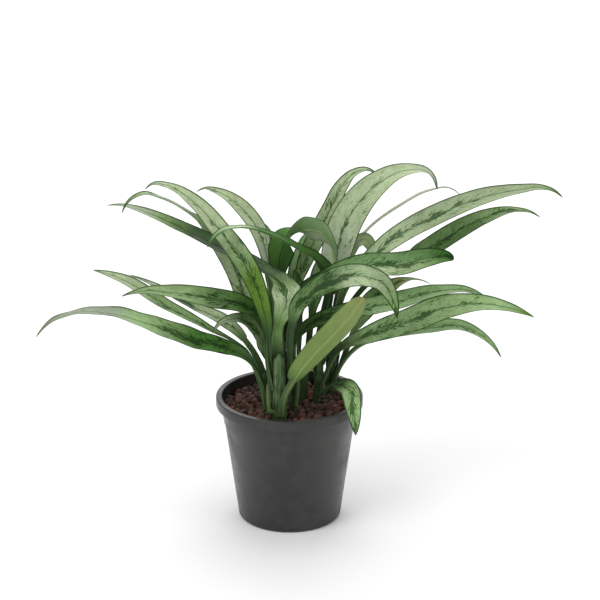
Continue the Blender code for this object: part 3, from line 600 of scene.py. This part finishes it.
def make_leaf(name, leaf, look, seed, skin):
    """A curled blade on a channelled petiole, with a sheath that clasps the cane."""
    line, side, normal, length, stalk = leaf_line(leaf)
    stations = np.concatenate([np.linspace(0, stalk, STALK_RINGS, endpoint=False),
                               np.linspace(stalk, length[-1], BLADE_RINGS)])
    at = leaf_values(leaf, stations, stalk, length[-1])
    middle, across, up = (np.stack([np.interp(stations, length, v[:, i]) for i in range(3)], axis=1)[:, None]
                          for v in (line, side, normal))
    across, up = unit(across), unit(up)

    spread = np.linspace(-1, 1, UPPER_POINTS)
    upper_q = np.sign(spread) * np.abs(spread) ** POINT_CROWDING
    under_q = upper_q[-2:0:-1]
    sideways, height = leaf_face(at, upper_q, look.wave, seed)[:2]
    upper = middle + across * sideways[..., None] + up * height[..., None]
    under_sideways, height, angle = leaf_face(at, under_q, look.wave, seed)
    inward = up * np.cos(angle)[..., None] - across * np.sin(angle)[..., None]
    depth = leaf_depth(at, under_q, under_sideways)
    lower = (middle + across * under_sideways[..., None] + up * height[..., None]
             - inward * depth[..., None])
    rings = np.concatenate([upper, lower], axis=1)
    obj = mesh_object("fine_" + name, rings.reshape(-1, 3), tube_faces(*rings.shape[:2]))
    turn_faces_outward(obj)

    sideways = np.concatenate([sideways, under_sideways], axis=1)
    is_under = np.arange(rings.shape[1]) >= UPPER_POINTS
    point_values(obj, "leaf_place", at.along, sideways, at.half)
    point_values(obj, "leaf_about", is_under, seed, at.opened)
    point_values(obj, "leaf_tone", *leaf_tones(look, at, sideways / at.half))
    stand_for(obj, name, skin)


def leaf_skin(slot, stalk_rib=0.2, blade_rib=0.55):
    """Silver-green blade with feathered dark blotches, a dark midrib and a thin dark margin.

    The last two values say how clearly the pale rib shows on the under side of petiole and blade.
    """
    n = Skin(slot)
    along, across, half = n.parts(n.attribute("leaf_place"))
    under, seed, opened = n.parts(n.attribute("leaf_about"))
    tone = n.attribute("leaf_tone", "Color")
    blotch = n.attribute("leaf_tone", "Alpha")
    off = n.math("ABSOLUTE", across)
    hand = n.math("SIGN", across)
    from_edge = n.math("SUBTRACT", half, off)
    vein = n.math("SUBTRACT", along, n.times(off, 2.8))
    drift = n.add(n.times(seed, 37), n.times(hand, 5))

    # Blotches are strokes along the side veins, gathered in patches, by the midrib and by the margin.
    strokes = n.noise(n.vector(n.times(vein, 0.34), n.times(along, 0.16), drift), 1, 4, 0.7)
    patches = n.noise(n.vector(n.times(along, 0.055), n.times(off, 0.16), drift), 1, 1)
    flecks = n.noise(n.vector(n.times(vein, 0.7), n.times(along, 0.3), drift))
    near_rib = n.ramp(off, 0.3, 5, 0.22, 0)
    near_edge = n.ramp(from_edge, 0.2, 1.8, 0.14, 0)
    field = n.add(n.times(strokes, 1.5), n.times(patches, 0.9))
    field = n.add(n.add(field, n.times(blotch, 0.5)), n.add(near_rib, near_edge))
    marked = n.ramp(blotch, 0, 0.12)
    blotches = n.times(n.ramp(field, 1.68, 1.73), marked)
    halo = n.times(n.ramp(field, 1.52, 1.7), marked)
    flecked = n.times(n.ramp(n.add(flecks, n.times(blotch, 0.12)), 0.66, 0.7), marked)
    rib_line = n.ramp(off, 0.3, 0.7, 0.7, 0)
    edge_line = n.ramp(from_edge, 0.7, 1.7, 1, 0)
    dark = n.most(n.most(blotches, n.most(rib_line, edge_line)), n.times(flecked, 0.7))
    dark = n.times(dark, n.times(n.ramp(blotch, 0, 0.12, 0.45, 1), opened))

    # The ground between them has a fine grain and soft clouds, and is greener beside a blotch.
    grain = n.noise(n.vector(n.times(vein, 2.2), n.times(off, 0.3), drift))
    mottle = n.noise(n.vector(n.times(along, 0.12), n.times(across, 0.2), drift))
    light = n.add(n.ramp(grain, 0.3, 0.7, 0.8, 1.14), n.ramp(mottle, 0.3, 0.7, -0.08, 0.08))
    lit = n.blend(1, tone, n.vector(light, light, light), "MULTIPLY")
    lit = n.blend(n.times(halo, 0.45), lit, n.blend(1, tone, (0.5, 0.68, 0.42), "MULTIPLY"))
    darker = n.blend(1, tone, (0.15, 0.23, 0.13), "MULTIPLY")
    upper = n.blend(dark, lit, darker)

    # The under side is plainer, with a pale rib.
    pale = n.blend(n.ramp(opened, 0, 1, 0.15, 0.4), lit, linear(108, 136, 84))
    lower = n.blend(n.times(dark, 0.3), pale, darker)
    lower_rib = n.times(n.ramp(off, 0.4, 0.9, 1, 0), n.ramp(opened, 0, 1, stalk_rib, blade_rib))
    lower = n.blend(lower_rib, lower, linear(156, 168, 98))

    side_veins = n.math("SINE", n.times(vein, 2.1))
    relief = n.add(n.times(side_veins, 0.25), n.times(grain, 0.6))
    return n.finish(Base_Color=n.blend(under, upper, lower), Roughness=n.ramp(mottle, 0.3, 0.7, 0.42, 0.55),
                    Normal=n.bump(relief, 0.12, 0.5), Specular_IOR_Level=0.15)


# ---- canes

CANE_SIDES = 40
CANE_RINGS = 90
CANE_DEPTH = 8.0  # the cane goes on this far below the surface of the mix
CANE_TIP = 0.1  # share of its height over which the cane narrows to its tip
CANE_TIP_RADIUS = 0.3  # share of the radius that is left at the very top
CANE_RIBS = 9
CANE_RIB_HEIGHT = 0.06
SCAR_SPACING = 9.0
SCAR_WIDTH = 0.09  # share of the spacing
SCAR_DEPTH = 0.12


def make_cane(name, shoot, seed, skin):
    """A round shoot with ringed leaf scars, fine ribs and a rounded growing tip."""
    top = shoot.top[2]
    around = np.linspace(0, math.tau, CANE_SIDES, endpoint=False)
    heights = np.linspace(-CANE_DEPTH, top, CANE_RINGS)
    rings = []
    for height in heights:
        tip = CANE_TIP_RADIUS + (1 - CANE_TIP_RADIUS) * eased((top - height) / (CANE_TIP * top))
        scar = math.exp(-((height / SCAR_SPACING + SEED_STEP * seed) % 1 / SCAR_WIDTH) ** 2)
        radius = cane_radius(shoot, height) * tip - SCAR_DEPTH * scar
        radius = radius + CANE_RIB_HEIGHT * np.sin(CANE_RIBS * around + seed)
        ring = np.stack([radius * np.cos(around), radius * np.sin(around), 0 * around], axis=1)
        rings.append(cane_point(shoot, height) + ring)
    obj = mesh_object(f"fine_cane_{name}", np.concatenate(rings), tube_faces(CANE_RINGS, CANE_SIDES))
    point_values(obj, "cane_place", heights[:, None], around * shoot.radius, seed)
    stand_for(obj, f"cane_{name}", skin)


def cane_skin():
    """Green with pale lengthwise streaks and dark clouds, with painted shade darkening the foot, and plainer
    near the tip.
    """
    n = Skin("cane")
    height, around, seed = n.parts(n.attribute("cane_place"))
    streak = n.noise(n.vector(n.times(height, 0.035), n.times(around, 1.1), seed), 1, 3, 0.6)
    cloud = n.noise(n.vector(n.times(height, 0.12), n.times(around, 0.15), seed))
    colour = n.blend(n.ramp(streak, 0.42, 0.66), linear(52, 80, 42), linear(122, 146, 98))
    colour = n.blend(n.ramp(cloud, 0.35, 0.7, 0, 0.7), colour, linear(30, 50, 26))
    # Painted shade: over the lowest 30 mm the colour darkens towards the foot, standing in for the shade of
    # the leaves above.
    colour = n.blend(n.ramp(height, 0, 30, 0.5, 0), colour, linear(42, 49, 34))
    colour = n.blend(n.ramp(height, 36, 54, 0, 0.75), colour, linear(80, 106, 64))
    return n.finish(Base_Color=colour, Roughness=0.42, Normal=n.bump(streak, 0.25, 0.5),
                    Specular_IOR_Level=0.2)


# ---- potting mix

MIX_SEED = 4
MIX_SWELL = 1.1  # unevenness of the surface
MIX_SWELL_SCALE = 0.06
MIX_SETTLING = 0.6
BED_RINGS = 40
BED_SIDES = 120
BED_DROP = 2.4  # the bed lies this far below the tops of the grains
BED_ROUGHNESS = 0.8
BED_ROUGHNESS_SCALE = 0.5
BED_DEPTH = 30.0
BED_SKIRT = 3.0  # the bed's lower end is this much narrower all round
BED_SHADE = 0.15
GRAIN_COUNT = 700
GRAIN_SIZE = (1.9, 4.6)  # smallest and largest radius
GRAIN_SIZE_FALL = 0.35  # below 1 there are few big grains
GRAIN_TRIES = 26000
GRAIN_CELL = 8.0  # neighbours are looked up in squares of this side
GRAIN_ROOM = 0.78  # two grains keep this share of their radii apart
EDGE_ROOM = 0.8  # share of its radius that a grain keeps from the edge of the mix
EDGE_GAP = 1.2
CANE_ROOM = 0.7  # share of its radius that a grain keeps from a cane
BIG_GRAIN = 3.0  # grains above this radius are shaped from a finer ball
GRAIN_BREADTH = (0.62, 0.95)  # breadth and height as shares of the length
GRAIN_HEIGHT = (0.5, 0.85)
GRAIN_FACES = 9
FACE_DEPTH = (0.62, 0.95)  # how far from the middle a grain is broken off
FACING = 0.05  # a broken face doesn't cut points that turn less than this towards it
GRAIN_LUMPS = 0.3
GRAIN_SWELL = 1.12
GRAIN_SINK = 0.25  # share of its radius that a grain is sunk
GRAIN_DROP = 0.4
GRAIN_LIFT = (-0.5, 0.6)
GRAIN_SHADE = (0.2, 1.0)


def mix_height(x, y):
    """Surface of the mix: crowned in the middle, with a slight unevenness."""
    share = min(math.hypot(x, y) / MIX_RADIUS, 1)
    swell = MIX_SWELL * noise.noise(Vector((x * MIX_SWELL_SCALE, y * MIX_SWELL_SCALE, 3.1)))
    return SOIL_LEVEL + MIX_CROWN * (1 - share**2) + swell - MIX_SETTLING


def mix_bed():
    """Points and faces of the fine mix under the grains, a solid that narrows downwards."""
    turns = [math.tau * i / BED_SIDES for i in range(BED_SIDES)]
    points = [(0, 0, mix_height(0, 0) - BED_DROP)]
    for ring in range(BED_RINGS):
        out = MIX_RADIUS * (ring + 1) / BED_RINGS
        for turn in turns:
            x, y = on_circle(out, turn)
            rough = BED_ROUGHNESS * noise.noise(Vector((x, y, 0)) * BED_ROUGHNESS_SCALE)
            points.append((x, y, mix_height(x, y) - BED_DROP + rough))
    floor = len(points)
    rim = floor - BED_SIDES
    out = MIX_RADIUS - BED_SKIRT
    points += [(*on_circle(out, turn), SOIL_LEVEL - BED_DEPTH) for turn in turns]

    faces = []
    for i in range(BED_SIDES):
        j = (i + 1) % BED_SIDES
        faces.append((0, 1 + i, 1 + j))
        for ring in range(BED_RINGS - 1):
            a, b = 1 + ring * BED_SIDES, 1 + (ring + 1) * BED_SIDES
            faces.append((a + i, b + i, b + j, a + j))
        faces.append((rim + i, floor + i, floor + j, rim + j))
    faces.append(tuple(reversed(range(floor, floor + BED_SIDES))))
    return np.array(points), faces


def grain_places(rng):
    """Centres and radii of the grains, big ones first, with room between them."""
    smallest, largest = GRAIN_SIZE
    grid = {}
    kept = []
    for attempt in range(GRAIN_TRIES):
        if len(kept) >= GRAIN_COUNT:
            break
        fall = (attempt / GRAIN_TRIES) ** GRAIN_SIZE_FALL
        radius = largest + (smallest - largest) * fall * rng.uniform(0.75, 1.0)
        out, bearing = (MIX_RADIUS - EDGE_GAP) * math.sqrt(rng.uniform()), rng.uniform(0, math.tau)
        x, y = on_circle(out, bearing)
        room = CANE_ROOM * radius
        if any(math.hypot(x - s.foot[0], y - s.foot[1]) < s.radius + room for s in SHOOTS.values()):
            continue
        if out + EDGE_ROOM * radius > MIX_RADIUS:
            continue
        column, row = int(x // GRAIN_CELL), int(y // GRAIN_CELL)
        near = [grain for dx in (-1, 0, 1) for dy in (-1, 0, 1)
                for grain in grid.get((column + dx, row + dy), [])]
        if any(math.hypot(x - g[0], y - g[1]) < GRAIN_ROOM * (radius + g[2]) for g in near):
            continue
        grid.setdefault((column, row), []).append((x, y, radius))
        kept.append((x, y, radius))
    return kept


def round_grain(subdivisions):
    """Points and faces of a small ball to shape grains from."""
    ball = bmesh.new()
    bmesh.ops.create_icosphere(ball, subdivisions=subdivisions, radius=1)
    points = np.array([v.co for v in ball.verts])
    faces = np.array([[v.index for v in f.verts] for f in ball.faces])
    ball.free()
    return points, faces


def broken_faces(ball, rng):
    """How far out each point of a ball may lie when the grain is broken off along a few flat faces."""
    sides = rng.normal(size=(GRAIN_FACES, 3))
    sides /= np.linalg.norm(sides, axis=1)[:, None]
    depths = rng.uniform(*FACE_DEPTH, GRAIN_FACES)
    towards = ball @ sides.T
    reach = np.where(towards > FACING, depths / np.maximum(towards, FACING), 1.0)
    return np.minimum(reach.min(axis=1), 1.0)


def grain_shape(ball, radius, rng):
    """A ball's points as a squashed, lumpy, broken grain, turned at random."""
    turn = np.linalg.qr(rng.normal(size=(3, 3)))[0]
    if np.linalg.det(turn) < 0:
        turn[:, 0] *= -1
    squash = np.array([1.0, rng.uniform(*GRAIN_BREADTH), rng.uniform(*GRAIN_HEIGHT)])
    offset = rng.uniform(0, 100, 3)
    lumps = np.array([noise.noise(Vector(p * 1.3 + offset)) + 0.5 * noise.noise(Vector(p * 3.1 + offset))
                      for p in ball])
    out = broken_faces(ball, rng) * (1 + GRAIN_LUMPS * lumps)
    return (ball * out[:, None] * squash * radius * GRAIN_SWELL) @ turn.T


def make_mix(skin):
    """A bed of fine mix with coarse lumps of bark and peat lying in it."""
    rng = np.random.default_rng(MIX_SEED)
    bed, faces = mix_bed()
    points, shades = [bed], [np.full(len(bed), BED_SHADE)]
    count = len(bed)
    small, big = round_grain(2), round_grain(3)
    for x, y, radius in grain_places(rng):
        ball, ball_faces = big if radius > BIG_GRAIN else small
        grain = grain_shape(ball, radius, rng)
        z = mix_height(x, y) - GRAIN_SINK * radius - GRAIN_DROP + rng.uniform(*GRAIN_LIFT)
        points.append(grain + np.array([x, y, z]))
        faces.extend(tuple(int(v) for v in f + count) for f in ball_faces)
        shades.append(np.full(len(ball), rng.uniform(*GRAIN_SHADE)))
        count += len(ball)
    obj = mesh_object("fine_potting_mix", np.concatenate(points), faces)
    point_values(obj, "grain_shade", np.concatenate(shades))
    stand_for(obj, "potting_mix", skin)


def mix_skin():
    """Red-brown bark and peat, each lump in its own shade, rough and matt."""
    n = Skin("potting_mix")
    shade = n.attribute("grain_shade", "Fac")
    place = n.make("ShaderNodeTexCoord", {}, output="Object")
    fine = n.noise(place, 900, 4, 0.65)
    coarse = n.noise(place, 230)
    colour = n.blend(n.ramp(shade, 0.15, 0.85), linear(48, 32, 27), linear(104, 68, 55))
    colour = n.blend(n.ramp(shade, 0.93, 0.98), colour, linear(138, 66, 50))
    colour = n.blend(n.ramp(fine, 0.35, 0.7, 0, 0.6), colour, linear(40, 27, 24))
    colour = n.blend(n.ramp(coarse, 0.5, 0.75, 0, 0.4), colour, linear(140, 104, 88))
    bump = n.bump(n.add(fine, n.times(coarse, 0.7)), 0.9, 0.8)
    return n.finish(Base_Color=colour, Roughness=0.9, Normal=bump)


# ---- pot

POT_SIDES = 160
WALL = 1.5
LIP_HEIGHT = 8.0
LIP_OVERHANG = 3.0
LIP_WIDTH = 5.0
LIP_ROUND = 1.1
LIP_INSIDE_DROP = 1.2  # the lip's inner round starts this far below the top
LIP_EDGE_ROUND = 0.6
LIP_FILLET = 0.4  # where the lip's under side meets the wall
SHOULDER_DROP = 22.0  # the wall steps in this far below the top
SHOULDER_STEP = 0.7
SHOULDER_SLOPE = 1.2
FLOOR_ROUND = 2.0
FOOT_RADIUS = 42.0
FOOT_ROUND = 2.5
FOOT_RING = 4.0
FOOT_DISC_RADIUS = 21.0
RECESS_SLOPE = 1.0
DRAIN_COUNT = 6
DRAIN_RADIUS = 4.5
DRAIN_RING_RADIUS = 30.0
DRAIN_RECESS = 2.0
DRAIN_SIDES = 40
CUTTER_MIDDLE = 3.0
CUTTER_LENGTH = 12.0
MERGE_GAP = 0.02
SHARP_ANGLE = math.radians(35)


def wall_radius(z):
    top = RIM_RADIUS - LIP_OVERHANG
    return FOOT_RADIUS + (top - FOOT_RADIUS) * z / POT_HEIGHT


def corner(x, z, radius, start, end, steps=6):
    """Points on an arc about (x, z), from one angle in degrees to another."""
    angles = np.radians(np.linspace(start, end, steps))
    return [(x + radius * math.cos(a), z + radius * math.sin(a)) for a in angles]


def pot_outline():
    """Half section: the floor, up the inside, over the rolled lip, down the stepped wall and in below."""
    lip_foot = POT_HEIGHT - LIP_HEIGHT
    floor = DRAIN_RECESS + WALL
    shoulder = POT_HEIGHT - SHOULDER_DROP
    step = shoulder - SHOULDER_SLOPE
    inner = [(0.0, WALL), (FOOT_DISC_RADIUS - RECESS_SLOPE, WALL), (FOOT_DISC_RADIUS, floor)]
    inner += corner(wall_radius(floor) - WALL - FLOOR_ROUND, floor + FLOOR_ROUND, FLOOR_ROUND, -90, -5)
    inner += [(wall_radius(shoulder) - WALL - SHOULDER_STEP, step), (wall_radius(shoulder) - WALL, shoulder)]
    inner += [(wall_radius(lip_foot) - WALL, lip_foot)]
    lip = [(RIM_RADIUS - LIP_WIDTH, POT_HEIGHT - LIP_INSIDE_DROP)]
    lip += corner(RIM_RADIUS - LIP_WIDTH + LIP_ROUND, POT_HEIGHT - LIP_ROUND, LIP_ROUND, 175, 90)
    lip += corner(RIM_RADIUS - LIP_ROUND, POT_HEIGHT - LIP_ROUND, LIP_ROUND, 90, 0)
    lip += corner(RIM_RADIUS - LIP_EDGE_ROUND, lip_foot + LIP_EDGE_ROUND, LIP_EDGE_ROUND, 0, -90, 4)
    outer = [(wall_radius(lip_foot) + LIP_FILLET, lip_foot), (wall_radius(lip_foot), lip_foot - LIP_FILLET)]
    outer += [(wall_radius(shoulder), shoulder), (wall_radius(shoulder) - SHOULDER_STEP, step)]
    outer += corner(wall_radius(FOOT_ROUND) - FOOT_ROUND, FOOT_ROUND, FOOT_ROUND, 0, -90)
    outer += [(FOOT_RADIUS - FOOT_RING, 0), (FOOT_RADIUS - FOOT_RING - RECESS_SLOPE, DRAIN_RECESS)]
    outer += [(FOOT_DISC_RADIUS + RECESS_SLOPE, DRAIN_RECESS), (FOOT_DISC_RADIUS, 0), (0.0, 0.0)]
    return inner + lip + outer


def make_pot(skin):
    """A turned pot with a rolled lip, a stepped shoulder and six drain holes in its recessed base."""
    outline = pot_outline()
    edges = [(i, i + 1) for i in range(len(outline) - 1)]
    mesh = bpy.data.meshes.new("fine_pot")
    mesh.from_pydata([(r * MM, 0, z * MM) for r, z in outline], edges, [])
    pot = bpy.data.objects.new("fine_pot", mesh)
    bpy.context.scene.collection.objects.link(pot)
    screw = pot.modifiers.new("turn", "SCREW")
    screw.steps = screw.render_steps = POT_SIDES
    screw.use_merge_vertices = True
    screw.merge_threshold = MERGE_GAP * MM
    screw.use_smooth_shade = True
    cutters = []
    for i in range(DRAIN_COUNT):
        place = (*on_circle(DRAIN_RING_RADIUS, math.tau * i / DRAIN_COUNT), CUTTER_MIDDLE)
        bpy.ops.mesh.primitive_cylinder_add(vertices=DRAIN_SIDES, radius=DRAIN_RADIUS * MM,
                                            depth=CUTTER_LENGTH * MM, location=[c * MM for c in place])
        cutters.append(bpy.context.object)
        pot.modifiers.new("drain", "BOOLEAN").object = cutters[-1]
    made = bpy.data.meshes.new_from_object(pot.evaluated_get(bpy.context.evaluated_depsgraph_get()))
    pot.modifiers.clear()
    pot.data = made
    made.set_sharp_from_angle(angle=SHARP_ANGLE)
    for cutter in cutters:
        bpy.data.objects.remove(cutter)
    stand_for(pot, "pot", skin)


def pot_skin():
    """Charcoal plastic with a fine orange-peel surface, dulled by dust and a few specks of mix."""
    n = Skin("black_plastic")
    place = n.make("ShaderNodeTexCoord", {}, output="Object")
    peel = n.noise(place, 420)
    dust = n.noise(place, 60, 4, 0.6)
    specks = n.noise(place, 1500, 1)
    colour = n.blend(n.ramp(dust, 0.4, 0.75, 0, 0.5), linear(33, 33, 34), linear(66, 61, 58))
    colour = n.blend(n.ramp(specks, 0.68, 0.74, 0, 0.5), colour, linear(96, 80, 68))
    rough = n.ramp(dust, 0.35, 0.7, 0.3, 0.5)
    return n.finish(Base_Color=colour, Roughness=rough, Normal=n.bump(peel, 0.08, 0.4))


# ---- studio, m

CAMERA_PLACE = (0.00858, -1.4852, 0.70506)
CAMERA_PITCH = 19.25  # degrees below level
CAMERA_LENS = 117.5
SENSOR_WIDTH = 36
FLOOR_SIZE = 30.0
FLOOR_GREY = 0.93
SKY_STRENGTH = 0.62

# Each light: where it stands, what it points at, its diameter and its power.
LIGHTS = {
    "key": ((-0.9, -0.9, 1.7), (0, 0, 0.15), 1.1, 14),
    "fill": ((1.3, -0.8, 0.9), (0, 0, 0.15), 1.0, 3),
    "top": ((0.2, 0.5, 1.9), (0, 0, 0.2), 1.2, 8),
    "backdrop": ((0, 2.1, 1.5), (0, 2.0, 0), 2.4, 26),
}


def make_camera():
    camera = bpy.data.objects.new("camera", bpy.data.cameras.new("camera"))
    camera.data.lens = CAMERA_LENS
    camera.data.sensor_width = SENSOR_WIDTH
    camera.location = CAMERA_PLACE
    camera.rotation_euler = (math.radians(90 - CAMERA_PITCH), 0, 0)
    bpy.context.scene.collection.objects.link(camera)
    bpy.context.scene.camera = camera


def make_light(name, place, target, size, power):
    light = bpy.data.lights.new(name, "AREA")
    light.shape = "DISK"
    light.size = size
    light.energy = power
    obj = bpy.data.objects.new(name, light)
    obj.location = place
    obj.rotation_euler = (Vector(target) - Vector(place)).to_track_quat("-Z", "Y").to_euler()
    bpy.context.scene.collection.objects.link(obj)


def make_studio():
    """A plain pale floor under an even sky, with four soft lights."""
    bpy.ops.mesh.primitive_plane_add(size=FLOOR_SIZE, location=(0, 0, 0))
    floor = bpy.context.object
    floor.name = "floor"
    floor.data.materials.append(
        Skin("floor").finish(Base_Color=(FLOOR_GREY, FLOOR_GREY, FLOOR_GREY, 1), Roughness=0.9).mat)
    world = bpy.data.worlds.new("studio")
    world.use_nodes = True
    sky = world.node_tree.nodes["Background"].inputs
    sky["Color"].default_value = (1, 1, 1, 1)
    sky["Strength"].default_value = SKY_STRENGTH
    bpy.context.scene.world = world
    bpy.context.scene.view_settings.view_transform = "Standard"
    for name, plan in LIGHTS.items():
        make_light(name, *plan)


# ---- assembly


def main():
    make_camera()
    make_studio()
    make_pot(pot_skin())
    make_mix(mix_skin())
    bark = cane_skin()
    for seed, (name, shoot) in enumerate(SHOOTS.items()):
        make_cane(name, shoot, seed, bark)
    usual = leaf_skin("leaf")
    special = {"leaf_front_4": leaf_skin("young_leaf", stalk_rib=0.25),
               "dry_sheath": leaf_skin("dry_sheath", blade_rib=0.1)}
    for seed, (name, leaf) in enumerate(LEAVES.items()):
        make_leaf(name, leaf, LOOKS[name], SEED_STEP * seed, special.get(name, usual))


main()
